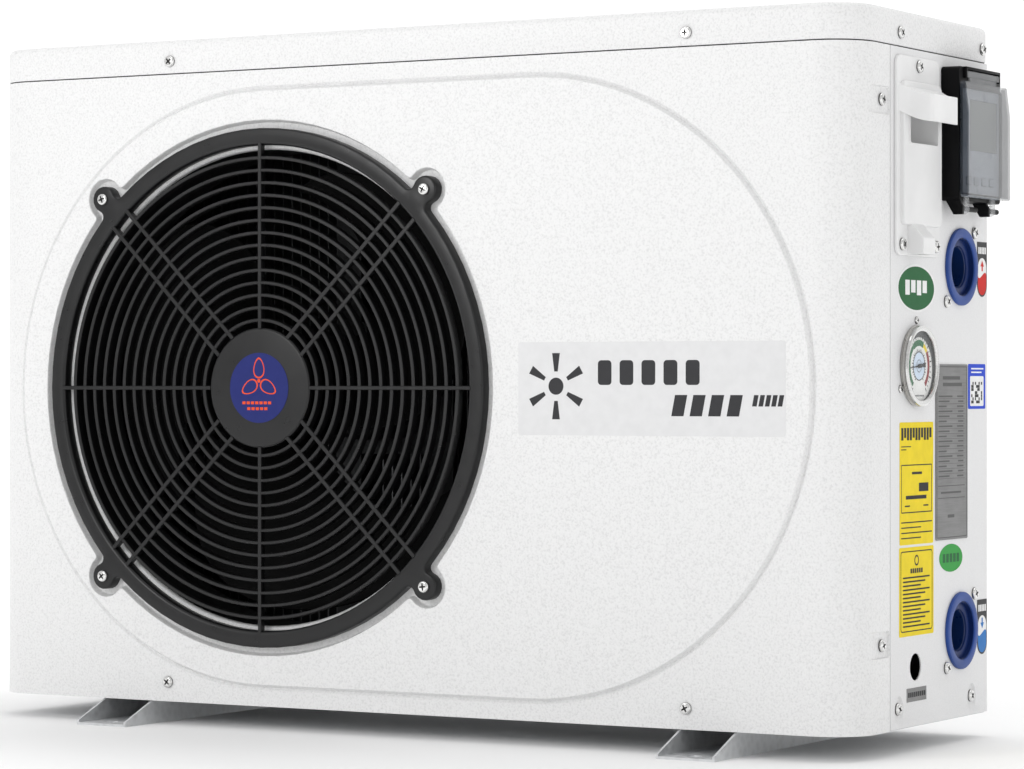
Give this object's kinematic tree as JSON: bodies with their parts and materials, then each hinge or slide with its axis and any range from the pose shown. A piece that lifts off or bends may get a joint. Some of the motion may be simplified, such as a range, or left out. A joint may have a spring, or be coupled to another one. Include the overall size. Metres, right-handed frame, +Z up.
{
  "type": "heat pump unit",
  "caption": "Side-blowing swimming-pool heat pump: steel cabinet with a round fan grille, and water sockets, gauge, handle and covered controller on its right side.",
  "frame": {"origin": "centre of the footprint's bounding box, on the floor", "axes": "+Z up, -Y is the front with the fan grille, +X is the side with the water sockets"},
  "size_m": [0.876, 0.342, 0.5965],
  "materials": {
    "white_coat": "satin",
    "black_plastic": "satin",
    "fan_plastic": "gloss",
    "white_plastic": "gloss",
    "galvanised": "satin",
    "screw_steel": "polished",
    "blue_plastic": "satin",
    "aluminium": "satin",
    "copper": "satin",
    "brass": "satin",
    "black_steel": "satin",
    "rubber": "matte",
    "grey_pvc": "matte",
    "smoked_clear": "gloss",
    "screen": "gloss",
    "key_plastic": "satin",
    "dial_paper": "matte",
    "needle_black": "matte",
    "glass": "polished"
  },
  "bodies": {
    "cabinet": {"accumulator": "black_steel", "base_pan": "galvanised", "carry_handle": "white_plastic", "compressor": "black_steel", "compressor_foot_plate": "black_steel", "control_board": "key_plastic", "control_box": "galvanised", "controller_housing": "black_plastic", "controller_key_plate": "key_plastic", "controller_screen": "screen", "discharge_pipe": "copper", "drain_spigot": "black_plastic", "evaporator_coil": "aluminium", "evaporator_side_coil": "aluminium", "exchanger_gas_pipe": "copper", "exchanger_stand": "rubber", "fan_capacitor": "aluminium", "fan_grille": "black_plastic", "fan_motor": "black_steel", "fan_shroud": "black_steel", "foot_rail_left": "galvanised", "foot_rail_right": "galvanised", "front_panel": "white_coat", "gas_pipe": "copper", "gauge_bezel": "screw_steel", "gauge_case": "brass", "gauge_dial": "dial_paper", "gauge_glass": "glass", "grille_screw_1": "screw_steel", "grille_screw_2": "screw_steel", "grille_screw_3": "screw_steel", "grille_screw_4": "screw_steel", "left_side_panel": "white_coat", "motor_bracket": "galvanised", "partition_plate": "galvanised", "rating_plate": "aluminium", "rear_guard": "black_steel", "reversing_valve": "brass", "right_side_panel": "white_coat", "rubber_mount_1": "rubber", "rubber_mount_2": "rubber", "rubber_mount_3": "rubber", "socket_screw_1": "screw_steel", "socket_screw_2": "screw_steel", "socket_screw_3": "screw_steel", "socket_screw_4": "screw_steel", "suction_pipe": "copper", "top_cover": "white_coat", "water_exchanger": "grey_pvc", "water_inlet_socket": "blue_plastic", "water_outlet_socket": "blue_plastic"},
    "fan": {"fan_blades": "fan_plastic", "fan_shaft": "screw_steel", "fan_nut": "brass"},
    "needle": {"gauge_needle": "needle_black"},
    "cover": {"controller_cover": "smoked_clear"},
    "button_1": {"controller_button_1": "key_plastic"},
    "button_2": {"controller_button_2": "key_plastic"},
    "button_3": {"controller_button_3": "key_plastic"},
    "button_4": {"controller_button_4": "key_plastic"}
  },
  "joints": [
    {"name": "fan_spin", "type": "hinge", "parent": "cabinet", "child": "fan", "pos_m": [-0.144, 0, 0.2935], "axis": [0, 1, 0], "continuous": true},
    {"name": "needle_sweep", "type": "hinge", "parent": "cabinet", "child": "needle", "pos_m": [0.412, -0.0167, 0.3113], "axis": [1, 0, 0], "range_deg": [-230, 40]},
    {"name": "cover_hinge", "type": "hinge", "parent": "cabinet", "child": "cover", "pos_m": [0.426, 0.033, 0.4406], "axis": [0, 1, 0], "range_deg": [0, 105]},
    {"name": "button_1_press", "type": "slide", "parent": "cabinet", "child": "button_1", "axis": [-1, 0, 0], "range_m": [0, 0.0008], "stiffness_N_per_m": 300},
    {"name": "button_2_press", "type": "slide", "parent": "cabinet", "child": "button_2", "axis": [-1, 0, 0], "range_m": [0, 0.0008], "stiffness_N_per_m": 300},
    {"name": "button_3_press", "type": "slide", "parent": "cabinet", "child": "button_3", "axis": [-1, 0, 0], "range_m": [0, 0.0008], "stiffness_N_per_m": 300},
    {"name": "button_4_press", "type": "slide", "parent": "cabinet", "child": "button_4", "axis": [-1, 0, 0], "range_m": [0, 0.0008], "stiffness_N_per_m": 300}
  ]
}
